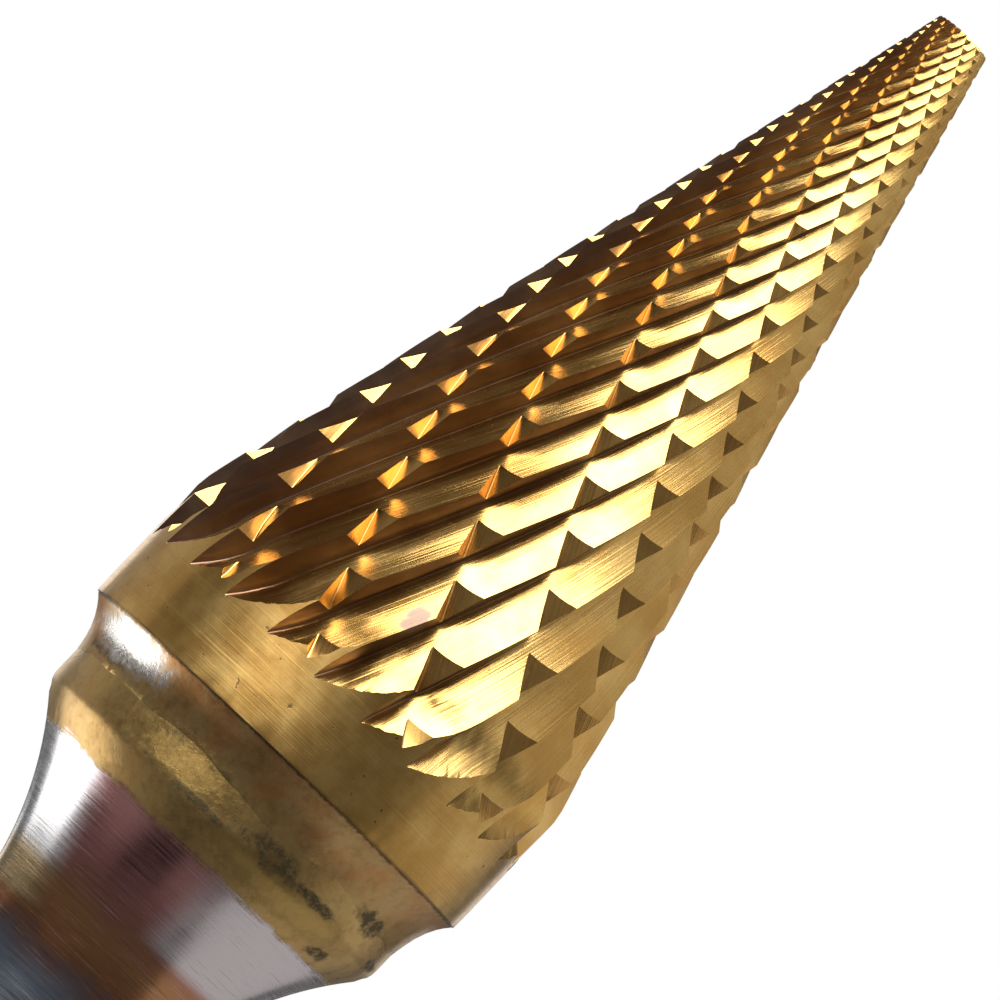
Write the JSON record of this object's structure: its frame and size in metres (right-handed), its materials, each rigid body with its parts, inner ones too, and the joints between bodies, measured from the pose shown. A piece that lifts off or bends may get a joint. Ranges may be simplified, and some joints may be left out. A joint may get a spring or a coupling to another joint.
{
  "type": "carbide burr",
  "caption": "Pointed cone carbide burr with gold-coated double-cut teeth, brazed to the flared end of a round steel shank for a die grinder",
  "frame": {"origin": "Centre of the shank's flat end face, on the burr's axis", "axes": "+Z runs along the burr's axis from the shank's end face to the tip of the head. The burr is round about Z, so +X and +Y are any two directions across it."},
  "size_m": [0.012, 0.012, 0.07],
  "materials": {
    "coated_carbide": "tungsten carbide with a gold titanium nitride coating, ground teeth",
    "braze": "brazing alloy, heat-stained",
    "shank_steel": "turned steel with temper colours"
  },
  "bodies": {
    "root": {"carbide_head": "coated_carbide", "braze_joint": "braze", "shank": "shank_steel"}
  },
  "joints": []
}
